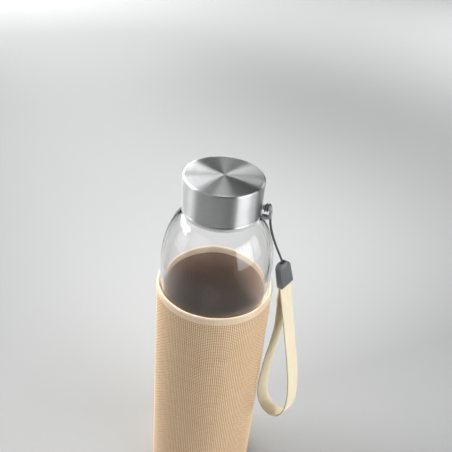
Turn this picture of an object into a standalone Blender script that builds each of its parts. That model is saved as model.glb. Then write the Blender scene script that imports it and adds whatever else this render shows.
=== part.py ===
"""Glass drinking bottle in a woven sleeve, with a steel screw cap and a hanging wrist strap.

Metres, +Z up. The origin is on the bottle's axis, on the surface it stands on.
The strap lug points along +X.
"""

import math

import bmesh
import bpy
from mathutils import Matrix, Vector

MM = 0.001
SIDES = 48                   # facets round every turned piece
GAP = 0.3 * MM               # clearance between pieces that touch

# ------------------------------------------------------------------ overall
HEIGHT = 220 * MM            # table to the top of the cap

# ------------------------------------------------------------------- sleeve
SLEEVE_R = 33.0 * MM         # outside of the woven sleeve
SLEEVE_WALL = 1.5 * MM
SLEEVE_TOP = 151.4 * MM      # top edge of the hem
HEM_HEIGHT = 4.2 * MM
SLEEVE_BASE_T = 2.0 * MM

# -------------------------------------------------------------------- glass
GLASS_R = 31.2 * MM          # outside of the body
GLASS_WALL = 2.0 * MM
GLASS_BOTTOM = SLEEVE_BASE_T + GAP
GLASS_RIM = 215.1 * MM       # lip of the mouth
SHOULDER_LOW = 168.0 * MM    # the wall is straight up to here
SHOULDER_HIGH = 198.2 * MM   # the neck starts here
SHOULDER_POWER = 1.75        # roundness of the shoulder's super-ellipse
NECK_R = 17.0 * MM
MOUTH_R = 14.8 * MM
FOOT_FILLET = 6.0 * MM
PUNT = 1.8 * MM              # how far the bottom is pushed up

# ------------------------------------------------------------------- thread
PITCH = 4.2 * MM
THREAD_TURNS = 1.5
THREAD_LOW = 203.3 * MM      # start of the glass thread
NECK_THREAD_R = 17.2 * MM    # centre line of the glass bead
NECK_THREAD_W = 0.9 * MM
CAP_THREAD_R = 18.5 * MM     # centre line of the bead inside the cap
CAP_THREAD_W = 0.8 * MM

# ---------------------------------------------------------------------- cap
CAP_R = 21.22 * MM
CAP_SKIRT = 19.5 * MM        # height of the steel cup
CAP_WALL = 0.6 * MM
CAP_EDGE = 1.3 * MM          # radius of its top edge
LINER_R = CAP_R - CAP_WALL - GAP
LINER_BORE = 18.6 * MM
LINER_ROOF = 217.4 * MM
FLANGE_R = 21.0 * MM
FLANGE_LOW = 198.7 * MM
GASKET_IN = 13.6 * MM
GASKET_OUT = 18.2 * MM
GASKET_T = 1.7 * MM

# ---------------------------------------------------------------------- lug
LUG_IN = CAP_R + 0.33 * MM
LUG_OUT = 25.95 * MM         # centre of the outer leg
LUG_LOW = 199.75 * MM        # centre of the lower leg
LUG_HIGH = 205.35 * MM       # centre of the upper leg
LUG_T = 1.6 * MM
LUG_W = 3.2 * MM
LUG_CORNER = 1.4 * MM

# -------------------------------------------------------------------- strap
CORD_D = 0.8 * MM
CLASP_FOOT = Vector((39.4, 2.4, 157.0)) * MM   # middle of the clasp's lower end
CLASP_W = 10.2 * MM
CLASP_T = 4.0 * MM
CLASP_H = 15.4 * MM
CLASP_CORNER = 3.6 * MM
CLASP_TAPER = 0.65 * MM      # how much each side draws in by the top
CLASP_LEAN_OUT = -0.16       # the clasp's top leans in, against the shoulder
CLASP_LEAN_SIDE = -0.18
LOOP_TURN = math.radians(-32)  # direction in which the strap's loop opens
STRAP_W = 9.0 * MM
STRAP_T = 0.9 * MM

OUT = Vector((math.cos(LOOP_TURN), math.sin(LOOP_TURN), 0.0))
SIDE = Vector((-OUT.y, OUT.x, 0.0))
UP = Vector((0.0, 0.0, 1.0))


# ============================================================== scene set-up
for old in list(bpy.data.objects):
    bpy.data.objects.remove(old, do_unlink=True)

parts = bpy.data.collections.new("glass_water_bottle")
cutters = bpy.data.collections.new("cutters")
bpy.context.scene.collection.children.link(parts)
bpy.context.scene.collection.children.link(cutters)


def material(name, colour, roughness, metallic=0.0, transmission=0.0):
    mat = bpy.data.materials.new(name)
    mat.use_nodes = True
    shader = mat.node_tree.nodes["Principled BSDF"]
    shader.inputs["Base Color"].default_value = (*colour, 1.0)
    shader.inputs["Roughness"].default_value = roughness
    shader.inputs["Metallic"].default_value = metallic
    shader.inputs["Transmission Weight"].default_value = transmission
    mat.diffuse_color = (*colour, 1.0)
    return mat


GLASS = material("clear_glass", (0.93, 0.96, 0.95), 0.02, transmission=1.0)
STEEL = material("brushed_steel", (0.62, 0.63, 0.63), 0.28, metallic=1.0)
LINER = material("grey_polypropylene", (0.60, 0.61, 0.61), 0.45)
SEAL = material("white_silicone", (0.85, 0.85, 0.83), 0.5)
LUG = material("grey_lug_plastic", (0.60, 0.61, 0.61), 0.4)
CORD = material("black_cord", (0.02, 0.02, 0.02), 0.6)
CLASP = material("dark_clasp_plastic", (0.07, 0.075, 0.078), 0.38)
WEBBING = material("cream_webbing", (0.78, 0.72, 0.56), 0.85)
WEAVE = material("woven_jute", (0.60, 0.44, 0.29), 0.9)
HEM = material("hem_fabric", (0.72, 0.56, 0.40), 0.85)
BASE = material("base_fabric", (0.55, 0.40, 0.27), 0.9)


def add(obj, mat, collection=parts):
    collection.objects.link(obj)
    obj.data.materials.clear()
    obj.data.materials.append(mat)
    return obj


def shade(mesh, angle=35):
    mesh.shade_smooth()
    mesh.set_sharp_from_angle(angle=math.radians(angle))


# ============================================================ shape builders
def turned(name, profile, mat, closed=False):
    """Turn a profile of (radius, height) points about Z.

    The points run down the outer side, top to bottom.
    """
    mesh = bpy.data.meshes.new(name)
    points = [(r, 0.0, z) for r, z in profile]
    edges = [(i, i + 1) for i in range(len(points) - 1)]
    if closed:
        edges.append((len(points) - 1, 0))
    mesh.from_pydata(points, edges, [])
    obj = add(bpy.data.objects.new(name, mesh), mat)
    screw = obj.modifiers.new("turn", "SCREW")
    screw.axis = "Z"
    screw.steps = SIDES
    screw.render_steps = SIDES
    screw.use_merge_vertices = True
    screw.merge_threshold = 0.00001
    screw.use_smooth_shade = True
    return obj


def poly_tube(name, points, radius, mat, radii=None, collection=parts, sides=2):
    """A round wire through the points, with filled ends."""
    curve = bpy.data.curves.new(name, "CURVE")
    curve.dimensions = "3D"
    curve.bevel_depth = radius
    curve.bevel_resolution = sides
    curve.render_resolution_u = 0
    curve.use_fill_caps = True
    spline = curve.splines.new("POLY")
    spline.points.add(len(points) - 1)
    for i, point in enumerate(points):
        spline.points[i].co = (*point, 1.0)
        spline.points[i].radius = radii[i] if radii else 1.0
    return add(bpy.data.objects.new(name, curve), mat, collection)


def flat_plate(name, outline, thickness, mat, matrix, bevel=0.0, collection=parts):
    """A flat outline in its own XY plane, made thickness deep and set by matrix."""
    curve = bpy.data.curves.new(name, "CURVE")
    curve.dimensions = "2D"
    curve.fill_mode = "BOTH"
    curve.extrude = thickness / 2
    curve.render_resolution_u = 0
    spline = curve.splines.new("POLY")
    spline.use_cyclic_u = True
    spline.points.add(len(outline) - 1)
    for i, (x, y) in enumerate(outline):
        spline.points[i].co = (x, y, 0.0, 1.0)
    obj = add(bpy.data.objects.new(name, curve), mat, collection)
    obj.matrix_world = matrix
    return as_mesh(obj, bevel, collection)


def as_mesh(obj, bevel=0.0, collection=parts):
    """Swap a curve object for the welded mesh it makes."""
    bpy.context.view_layer.update()
    evaluated = obj.evaluated_get(bpy.context.evaluated_depsgraph_get())
    mesh = bpy.data.meshes.new_from_object(evaluated)
    name, matrix, mat = obj.name, obj.matrix_world.copy(), obj.data.materials[0]
    bpy.data.objects.remove(obj, do_unlink=True)
    work = bmesh.new()
    work.from_mesh(mesh)
    bmesh.ops.remove_doubles(work, verts=work.verts, dist=0.000005)
    bmesh.ops.recalc_face_normals(work, faces=work.faces)
    work.to_mesh(mesh)
    work.free()
    mesh.name = name
    swapped = add(bpy.data.objects.new(name, mesh), mat, collection)
    swapped.name = name
    swapped.matrix_world = matrix
    if bevel:
        edge = swapped.modifiers.new("edges", "BEVEL")
        edge.width = bevel
        edge.segments = 2
        edge.limit_method = "ANGLE"
        edge.angle_limit = math.radians(50)
    shade(mesh)
    return swapped


def combine(obj, other, operation):
    other.hide_render = True
    other.display_type = "WIRE"
    step = obj.modifiers.new(other.name, "BOOLEAN")
    step.operation = operation
    step.object = other
    return obj


def smooth_path(anchors, spacing):
    """Points about one spacing apart on the Catmull-Rom curve through the anchors."""
    anchors = [Vector(a) for a in anchors]
    ends = [2 * anchors[0] - anchors[1]] + anchors + [2 * anchors[-1] - anchors[-2]]
    fine = []
    for i in range(1, len(ends) - 2):
        p0, p1, p2, p3 = ends[i - 1:i + 3]
        for k in range(40):
            t = k / 40
            fine.append(0.5 * ((2 * p1) + (p2 - p0) * t
                               + (2 * p0 - 5 * p1 + 4 * p2 - p3) * t * t
                               + (3 * p1 - p0 - 3 * p2 + p3) * t ** 3))
    fine.append(anchors[-1])
    run = [0.0]
    for a, b in zip(fine, fine[1:]):
        run.append(run[-1] + (b - a).length)
    count = max(2, round(run[-1] / spacing))
    points, j = [], 0
    for k in range(count + 1):
        want = run[-1] * k / count
        while j < len(run) - 2 and run[j + 1] < want:
            j += 1
        span = max(run[j + 1] - run[j], 1e-12)
        points.append(fine[j].lerp(fine[j + 1], min(1.0, (want - run[j]) / span)))
    return points


def strip_outline(path, thickness):
    """The outline of a strip that runs along a flat path, given as (x, y) points."""
    left, right = [], []
    for i, point in enumerate(path):
        before, after = path[max(i - 1, 0)], path[min(i + 1, len(path) - 1)]
        run = Vector((after[0] - before[0], after[1] - before[1])).normalized()
        across = Vector((-run.y, run.x)) * thickness / 2
        left.append((point[0] + across.x, point[1] + across.y))
        right.append((point[0] - across.x, point[1] - across.y))
    return left + right[::-1]


def arc(cx, cy, radius, start, end, steps):
    """(x, y) points round a centre, angles in degrees."""
    return [(cx + radius * math.cos(math.radians(start + (end - start) * k / steps)),
             cy + radius * math.sin(math.radians(start + (end - start) * k / steps)))
            for k in range(steps + 1)]


def helix(radius, low, turns, step=24):
    """Centre line of a right-hand thread bead; it fades in and out at its ends."""
    count = int(turns * step)
    points, sizes = [], []
    for k in range(count + 1):
        turn = k / step
        angle = 2 * math.pi * turn
        points.append((radius * math.cos(angle), radius * math.sin(angle), low + PITCH * turn))
        end = min(k, count - k)
        sizes.append(min(1.0, 0.55 + 0.15 * end))
    return points, sizes


def basis(x_axis, y_axis, origin):
    """A matrix whose X and Y axes are given, with its origin."""
    x = x_axis.normalized()
    z = x.cross(y_axis).normalized()
    y = z.cross(x)
    turn = Matrix((x, y, z)).transposed().to_4x4()
    return Matrix.Translation(origin) @ turn


# ====================================================================== glass
def shoulder_radius(height, inside=False):
    """Radius of the glass between the straight wall and the neck."""
    body = GLASS_R - (GLASS_WALL if inside else 0)
    neck = MOUTH_R if inside else NECK_R
    t = (height - SHOULDER_LOW) / (SHOULDER_HIGH - SHOULDER_LOW)
    t = min(max(t, 0.0), 1.0)
    return neck + (body - neck) * (1 - t ** SHOULDER_POWER) ** (1 / SHOULDER_POWER)


def glass_profile():
    inner_r = GLASS_R - GLASS_WALL
    floor = GLASS_BOTTOM + 4.2 * MM
    profile = [(0.0, floor + 0.8 * MM), (12 * MM, floor + 0.5 * MM), (22 * MM, floor)]
    profile += arc(inner_r - 5 * MM, floor + 5 * MM, 5 * MM, -70, 0, 4)
    profile += [(inner_r, 90 * MM)]
    steps = 9
    rise = [SHOULDER_LOW + (SHOULDER_HIGH - SHOULDER_LOW) * math.sin(math.pi / 2 * k / steps)
            for k in range(steps + 1)]
    profile += [(shoulder_radius(h, True), h) for h in rise]
    profile += [(MOUTH_R, GLASS_RIM - 0.5 * MM), (MOUTH_R + 0.5 * MM, GLASS_RIM),
                (NECK_R - 0.6 * MM, GLASS_RIM), (NECK_R, GLASS_RIM - 0.6 * MM)]
    profile += [(shoulder_radius(h), h) for h in reversed(rise)]
    profile += [(GLASS_R, 90 * MM)]
    foot = GLASS_R - FOOT_FILLET
    profile += arc(foot, GLASS_BOTTOM + FOOT_FILLET, FOOT_FILLET, 0, -90, 5)
    profile += [(foot - 2 * MM, GLASS_BOTTOM), (foot - 5 * MM, GLASS_BOTTOM + 0.8 * MM),
                (foot - 13 * MM, GLASS_BOTTOM + PUNT - 0.2 * MM), (0.0, GLASS_BOTTOM + PUNT)]
    return profile


glass = turned("glass_bottle", glass_profile(), GLASS)
points, sizes = helix(NECK_THREAD_R, THREAD_LOW, THREAD_TURNS)
bead = as_mesh(poly_tube("neck_thread", points, NECK_THREAD_W, GLASS, sizes, cutters), 0.0, cutters)
combine(glass, bead, "UNION")

# ======================================================================== cap
top = HEIGHT
skirt = HEIGHT - CAP_SKIRT
inner = CAP_R - CAP_WALL
profile = [(0.0, top), (CAP_R - CAP_EDGE - 6 * MM, top)]
profile += arc(CAP_R - CAP_EDGE, top - CAP_EDGE, CAP_EDGE, 90, 0, 5)
profile += [(CAP_R, skirt), (inner, skirt)]
profile += arc(CAP_R - CAP_EDGE, top - CAP_EDGE, CAP_EDGE - CAP_WALL, 0, 90, 3)
profile += [(0.0, top - CAP_WALL)]
turned("cap_shell", profile, STEEL)

roof = top - CAP_WALL - GAP
profile = [(0.0, roof), (LINER_R - 1.0 * MM, roof), (LINER_R, roof - 1.0 * MM),
           (LINER_R, skirt - GAP), (FLANGE_R, skirt - GAP), (FLANGE_R, FLANGE_LOW + 0.3 * MM),
           (FLANGE_R - 0.3 * MM, FLANGE_LOW), (LINER_BORE + 0.3 * MM, FLANGE_LOW),
           (LINER_BORE, FLANGE_LOW + 0.3 * MM), (LINER_BORE, LINER_ROOF), (0.0, LINER_ROOF)]
liner = turned("cap_liner", profile, LINER)
points, sizes = helix(CAP_THREAD_R, THREAD_LOW - PITCH / 2, THREAD_TURNS)
rib = as_mesh(poly_tube("cap_thread", points, CAP_THREAD_W, LINER, sizes, cutters), 0.0, cutters)
combine(liner, rib, "UNION")

seal_top = LINER_ROOF - GAP
seal_low = GLASS_RIM + GAP
chamfer = 0.35 * MM
profile = [(GASKET_OUT - chamfer, seal_top), (GASKET_OUT, seal_top - chamfer),
           (GASKET_OUT, seal_low + chamfer), (GASKET_OUT - chamfer, seal_low),
           (GASKET_IN + chamfer, seal_low), (GASKET_IN, seal_low + chamfer),
           (GASKET_IN, seal_top - chamfer), (GASKET_IN + chamfer, seal_top)]
turned("cap_gasket", profile, SEAL, closed=True)

# ======================================================================== lug
turn_r = LUG_CORNER
lug_path = [(LUG_IN, LUG_LOW)]
lug_path += arc(LUG_OUT - turn_r, LUG_LOW + turn_r, turn_r, -90, 0, 4)
lug_path += arc(LUG_OUT - turn_r, LUG_HIGH - turn_r, turn_r, 0, 90, 4)
lug_path += [(LUG_IN, LUG_HIGH)]
flat_plate("strap_lug", strip_outline(lug_path, LUG_T), LUG_W, LUG,
           basis(Vector((1, 0, 0)), UP, Vector((0, 0, 0))), bevel=0.3 * MM)

# ===================================================================== sleeve
inside = SLEEVE_R - SLEEVE_WALL
hem_low = SLEEVE_TOP - HEM_HEIGHT
turned("sleeve_body", [(SLEEVE_R, hem_low - GAP), (SLEEVE_R, 75 * MM), (SLEEVE_R, 0.8 * MM),
                       (SLEEVE_R - 0.5 * MM, 0.0), (inside, 0.0), (inside, 75 * MM),
                       (inside, hem_low - GAP)],
       WEAVE, closed=True)
turned("sleeve_hem", [(inside + 0.35 * MM, SLEEVE_TOP), (SLEEVE_R - 0.75 * MM, SLEEVE_TOP - 0.15 * MM),
                      (SLEEVE_R - 0.25 * MM, SLEEVE_TOP - 0.8 * MM), (SLEEVE_R, hem_low + 2.0 * MM),
                      (SLEEVE_R, hem_low + 0.3 * MM), (SLEEVE_R - 0.3 * MM, hem_low),
                      (inside, hem_low), (inside, SLEEVE_TOP - 0.5 * MM)],
       HEM, closed=True)
turned("sleeve_base", [(0.0, SLEEVE_BASE_T), (inside - GAP - 0.4 * MM, SLEEVE_BASE_T),
                       (inside - GAP, SLEEVE_BASE_T - 0.4 * MM), (inside - GAP, 0.0), (0.0, 0.0)],
       BASE)

# =============================================================== hanging strap
clasp_up = (OUT * CLASP_LEAN_OUT + SIDE * CLASP_LEAN_SIDE + UP).normalized()
clasp_top = CLASP_FOOT + clasp_up * CLASP_H

# The cord is knotted round the lug's upper leg, and two strands of it hang down
# behind the outer leg to the clasp.
knot = [(25.75, 3.4, 202.5), (25.7, 3.35, 203.6), (25.35, 2.95, 205.2), (24.85, 1.9, 206.6),
        (24.5, 0.4, 207.05), (24.35, -1.1, 206.95), (24.3, -2.1, 206.2), (24.25, -2.3, 205.2),
        (24.2, -1.9, 204.2), (24.1, -0.7, 203.75), (23.95, 0.7, 203.8), (23.8, 1.9, 204.3),
        (23.65, 2.3, 205.3), (23.5, 1.9, 206.5), (23.3, 0.6, 207.0), (23.15, -0.9, 206.95),
        (23.05, -2.1, 206.2), (23.0, -2.3, 205.2), (22.95, -1.9, 204.2), (22.9, -0.7, 203.65),
        (22.95, 0.6, 203.2), (23.4, 1.6, 202.9), (24.4, 2.2, 202.75), (25.4, 2.3, 202.5)]
poly_tube("cord_hitch", smooth_path([Vector(p) * MM for p in knot], 1.1 * CORD_D), CORD_D / 2, CORD)

hang = [(25.9, 202.15), (26.0, 198.4), (26.75, 193.8), (28.6, 188.0), (31.2, 182.0)]
end = clasp_top + clasp_up * 0.6 * MM
for name, shift, behind in (("cord_strand_a", 0.0, (3.35, 3.3, 2.75, 2.25, 1.95)),
                            ("cord_strand_b", -0.3, (2.25, 2.2, 1.5, 1.05, 0.8))):
    fade = (1.0, 1.0, 0.8, 0.5, 0.2)
    route = [Vector((x + shift * f, y, z)) * MM for (x, z), y, f in zip(hang, behind, fade)]
    lean = 0.56 * MM * (1 if name.endswith("a") else -1)
    route += [end + Vector((0, lean, 0)) + (route[-1] - end - Vector((0, lean, 0))) * 0.25,
              end + Vector((0, lean, 0))]
    poly_tube(name, smooth_path(route, 2.2 * CORD_D), CORD_D / 2, CORD)

half = CLASP_W / 2
round_r = CLASP_CORNER
outline = [(-half, 0.0), (half, 0.0)]
outline += arc(half - CLASP_TAPER - round_r, CLASP_H - round_r, round_r, 0, 90, 6)
outline += arc(round_r + CLASP_TAPER - half, CLASP_H - round_r, round_r, 90, 180, 6)
flat_plate("strap_clasp", outline, CLASP_T, CLASP,
           basis(SIDE - clasp_up * SIDE.dot(clasp_up), clasp_up, CLASP_FOOT), bevel=0.35 * MM)

# The webbing leaves the clasp, hangs in a long drop-shaped loop and comes back.
# Each anchor is (distance out from the clasp, height), in millimetres.
mouth = (STRAP_T + 0.35 * MM) / 2 / MM
foot = CLASP_FOOT.z / MM - 1.2   # clear of the leaning clasp
loop = [(-mouth, foot), (-mouth + 0.2, foot - 8), (0.45, 141), (0.7, 127), (-0.4, 114),
        (-2.0, 101), (-3.2, 89), (-3.85, 77), (-3.5, 67.5), (-0.9, 60.2), (4.4, 56.6),
        (10.2, 57.4), (15.0, 62.2), (17.9, 70.5), (18.5, 81), (17.0, 93.5), (14.3, 105.5),
        (11.3, 116.5), (8.3, 127.5), (5.3, 138), (2.5, 148), (mouth, foot)]
path = [(p.x, p.y) for p in smooth_path([Vector((u, z, 0)) * MM for u, z in loop], 3.6 * MM)]
flat_plate("wrist_strap", strip_outline(path, STRAP_T), STRAP_W, WEBBING,
           basis(OUT, UP, Vector((CLASP_FOOT.x, CLASP_FOOT.y, 0.0))))

# ============================================================= joint references
# Each moving piece hangs from an empty on its joint's axis.
def pivot(name, place, *objects):
    empty = bpy.data.objects.new(name, None)
    empty.empty_display_size = 0.01
    parts.objects.link(empty)
    empty.location = place
    bpy.context.view_layer.update()
    for obj in objects:
        keep = obj.matrix_world.copy()
        obj.parent = empty
        obj.matrix_parent_inverse = empty.matrix_world.inverted()
        obj.matrix_world = keep
    return empty


scene_parts = bpy.data.objects
pivot("axis_bottle", (0, 0, 0), scene_parts["glass_bottle"], scene_parts["neck_thread"])
pivot("axis_cap", (0, 0, FLANGE_LOW), scene_parts["cap_shell"], scene_parts["cap_liner"],
      scene_parts["cap_thread"], scene_parts["cap_gasket"], scene_parts["strap_lug"],
      scene_parts["cord_hitch"])
pivot("axis_cord", Vector((26.35, 2.8, 202.3)) * MM, scene_parts["cord_strand_a"],
      scene_parts["cord_strand_b"])
pivot("axis_clasp", clasp_top + clasp_up * 0.3 * MM, scene_parts["strap_clasp"])
pivot("axis_loop", CLASP_FOOT + OUT * 1.2 * MM - UP * 0.6 * MM, scene_parts["wrist_strap"])
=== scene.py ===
"""Looks of the glass drinking bottle: glass, spun steel cap, woven sleeve, cord, clasp and webbing loop.

Everything is in metres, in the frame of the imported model: Z up, the bottle's axis on Z, the strap lug along +X.
"""

import math

import bmesh
import bpy
from mathutils import Matrix, Vector


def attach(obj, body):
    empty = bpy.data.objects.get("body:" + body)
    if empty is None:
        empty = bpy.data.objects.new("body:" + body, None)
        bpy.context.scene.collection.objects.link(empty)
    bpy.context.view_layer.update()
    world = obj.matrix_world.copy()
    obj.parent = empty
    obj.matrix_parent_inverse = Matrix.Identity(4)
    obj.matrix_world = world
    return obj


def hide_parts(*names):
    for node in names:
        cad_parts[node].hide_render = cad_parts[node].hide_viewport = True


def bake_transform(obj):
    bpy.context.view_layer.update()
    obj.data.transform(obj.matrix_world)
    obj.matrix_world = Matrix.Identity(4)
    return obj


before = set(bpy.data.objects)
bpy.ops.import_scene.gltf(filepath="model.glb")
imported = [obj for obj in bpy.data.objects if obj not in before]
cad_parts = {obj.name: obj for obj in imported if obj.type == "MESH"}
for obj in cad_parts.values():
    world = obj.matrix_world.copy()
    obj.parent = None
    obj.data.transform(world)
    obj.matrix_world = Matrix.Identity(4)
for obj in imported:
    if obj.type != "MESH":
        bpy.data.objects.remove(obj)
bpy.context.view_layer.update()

MM = 0.001
TAU = 2 * math.pi

# ------------------------------------------------------------- sizes from the CAD
SLEEVE_R, SLEEVE_WALL, SLEEVE_TOP, HEM_HEIGHT = 33.0 * MM, 1.5 * MM, 151.4 * MM, 4.2 * MM
BASE_T = 2.0 * MM
GLASS_R, GLASS_WALL, GLASS_BOTTOM, GLASS_RIM = 31.2 * MM, 2.0 * MM, 2.3 * MM, 215.1 * MM
SHOULDER_LOW, SHOULDER_HIGH, SHOULDER_POWER = 168.0 * MM, 198.2 * MM, 1.75
NECK_R, MOUTH_R = 17.0 * MM, 14.8 * MM
FOOT_FILLET, PUNT = 6.0 * MM, 1.8 * MM
PITCH, THREAD_LOW, THREAD_TURNS = 4.2 * MM, 203.3 * MM, 1.5
CAP_R, CAP_TOP, CAP_SKIRT, CAP_WALL, CAP_EDGE = 21.22 * MM, 220.0 * MM, 200.5 * MM, 0.6 * MM, 1.3 * MM
LINER_R, LINER_BORE, LINER_ROOF = 20.32 * MM, 18.6 * MM, 217.4 * MM
FLANGE_R, FLANGE_LOW = 21.0 * MM, 198.7 * MM
LUG_IN, LUG_OUT, LUG_LOW, LUG_HIGH = 21.55 * MM, 25.95 * MM, 199.75 * MM, 205.35 * MM
LUG_T, LUG_W, LUG_CORNER = 1.6 * MM, 3.2 * MM, 1.4 * MM
CORD_D = 0.8 * MM
CLASP_FOOT = Vector((39.4, 2.4, 157.0)) * MM
CLASP_W, CLASP_T, CLASP_H, CLASP_CORNER, CLASP_TAPER = 10.2 * MM, 4.0 * MM, 15.4 * MM, 3.6 * MM, 0.65 * MM
STRAP_W, STRAP_T = 9.0 * MM, 0.9 * MM
TURN = math.radians(-32)
OUT = Vector((math.cos(TURN), math.sin(TURN), 0.0))
SIDE = Vector((-OUT.y, OUT.x, 0.0))
UP = Vector((0.0, 0.0, 1.0))
CLASP_UP = (OUT * -0.16 + SIDE * -0.18 + UP).normalized()
CLASP_TOP = CLASP_FOOT + CLASP_UP * CLASP_H

# weave of the sleeve: an even count of yarns round it, so that the pattern closes
YARNS_ROUND = 176
YARN_RISE = 1.2 * MM


# ==================================================================== mesh helpers
def build(name, verts, faces, mat, sharp=35, uv=None):
    mesh = bpy.data.meshes.new(name)
    mesh.from_pydata([tuple(v) for v in verts], [], faces)
    if uv is not None:
        layer = mesh.uv_layers.new(name="lay")
        for loop in mesh.loops:
            layer.data[loop.index].uv = uv[loop.vertex_index]
    mesh.update()
    mesh.shade_smooth()
    mesh.set_sharp_from_angle(angle=math.radians(sharp))
    obj = bpy.data.objects.new(name, mesh)
    bpy.context.scene.collection.objects.link(obj)
    mesh.materials.append(mat)
    return obj


def revolve(name, profile, seg, mat, closed=False, shift=None, sharp=35):
    """Turn (radius, height) points about Z. They run down the outer side."""
    verts, rings = [], []
    for i, (r, z) in enumerate(profile):
        if r < 1e-9:
            rings.append([len(verts)])
            verts.append((0.0, 0.0, z))
            continue
        ring = []
        for k in range(seg):
            a = TAU * k / seg
            rr = r + (shift(a, r, z, i) if shift else 0.0)
            ring.append(len(verts))
            verts.append((rr * math.cos(a), rr * math.sin(a), z))
        rings.append(ring)
    faces = []
    pairs = list(zip(rings, rings[1:])) + ([(rings[-1], rings[0])] if closed else [])
    for top, low in pairs:
        for k in range(seg):
            j = (k + 1) % seg
            if len(top) == 1:
                faces.append((top[0], low[k], low[j]))
            elif len(low) == 1:
                faces.append((top[k], low[0], top[j]))
            else:
                faces.append((top[k], low[k], low[j], top[j]))
    return build(name, verts, faces, mat, sharp)


def arc(cx, cy, radius, start, end, steps):
    return [(cx + radius * math.cos(math.radians(start + (end - start) * k / steps)),
             cy + radius * math.sin(math.radians(start + (end - start) * k / steps)))
            for k in range(steps + 1)]


def line(a, b, steps):
    """Points between a and b, without b."""
    return [(a[0] + (b[0] - a[0]) * k / steps, a[1] + (b[1] - a[1]) * k / steps) for k in range(steps)]


def smooth_path(anchors, spacing):
    anchors = [Vector(a) for a in anchors]
    ends = [2 * anchors[0] - anchors[1]] + anchors + [2 * anchors[-1] - anchors[-2]]
    fine = []
    for i in range(1, len(ends) - 2):
        p0, p1, p2, p3 = ends[i - 1:i + 3]
        for k in range(40):
            t = k / 40
            fine.append(0.5 * ((2 * p1) + (p2 - p0) * t
                               + (2 * p0 - 5 * p1 + 4 * p2 - p3) * t * t
                               + (3 * p1 - p0 - 3 * p2 + p3) * t ** 3))
    fine.append(anchors[-1])
    run = [0.0]
    for a, b in zip(fine, fine[1:]):
        run.append(run[-1] + (b - a).length)
    count = max(2, round(run[-1] / spacing))
    points, j = [], 0
    for k in range(count + 1):
        want = run[-1] * k / count
        while j < len(run) - 2 and run[j + 1] < want:
            j += 1
        span = max(run[j + 1] - run[j], 1e-12)
        points.append(fine[j].lerp(fine[j + 1], min(1.0, (want - run[j]) / span)))
    return points


def tangents(points):
    out = []
    for i in range(len(points)):
        a, b = points[max(i - 1, 0)], points[min(i + 1, len(points) - 1)]
        out.append((b - a).normalized())
    return out


def sweep(name, points, section, mat, across=None, sharp=50, round_ends=0):
    """Sweep a closed section, given as (across, deep) points, along a path, with filled ends.

    UV holds (turn round the section, length along the path in metres).
    """
    run = tangents(points)
    side = across if across is not None else run[0].orthogonal().normalized()
    verts, uv, along = [], [], 0.0
    n = len(section)
    stations = [(p, t, 1.0) for p, t in zip(points, run)]
    for i, (p, t, scale) in enumerate(stations):
        if i:
            along += (p - stations[i - 1][0]).length
        if across is None:
            side = (side - t * side.dot(t)).normalized()
            wide = side
        else:
            wide = across
        deep = t.cross(wide).normalized()
        shrink = 1.0
        if round_ends and (i == 0 or i == len(stations) - 1):
            shrink = 0.75
        for k, (x, y) in enumerate(section):
            verts.append(p + wide * x * shrink + deep * y * shrink)
            uv.append((k / n, along))
    faces = []
    for i in range(len(stations) - 1):
        for k in range(n):
            j = (k + 1) % n
            faces.append((i * n + k, i * n + j, (i + 1) * n + j, (i + 1) * n + k))
    faces.append(tuple(reversed(range(n))))
    faces.append(tuple((len(stations) - 1) * n + k for k in range(n)))
    obj = build(name, verts, faces, mat, sharp, uv)
    outward(obj)
    return obj


def outward(obj):
    work = bmesh.new()
    work.from_mesh(obj.data)
    bmesh.ops.recalc_face_normals(work, faces=work.faces)
    work.to_mesh(obj.data)
    work.free()


def circle(radius, sides):
    return [(radius * math.cos(TAU * k / sides), radius * math.sin(TAU * k / sides)) for k in range(sides)]


def bake_modifiers(obj):
    """Swap the object's mesh for the one that its modifiers make."""
    bpy.context.view_layer.update()
    dg = bpy.context.evaluated_depsgraph_get()
    mesh = bpy.data.meshes.new_from_object(obj.evaluated_get(dg), preserve_all_data_layers=True, depsgraph=dg)
    obj.modifiers.clear()
    old = obj.data
    obj.data = mesh
    mesh.name = obj.name
    bpy.data.meshes.remove(old)


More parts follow.
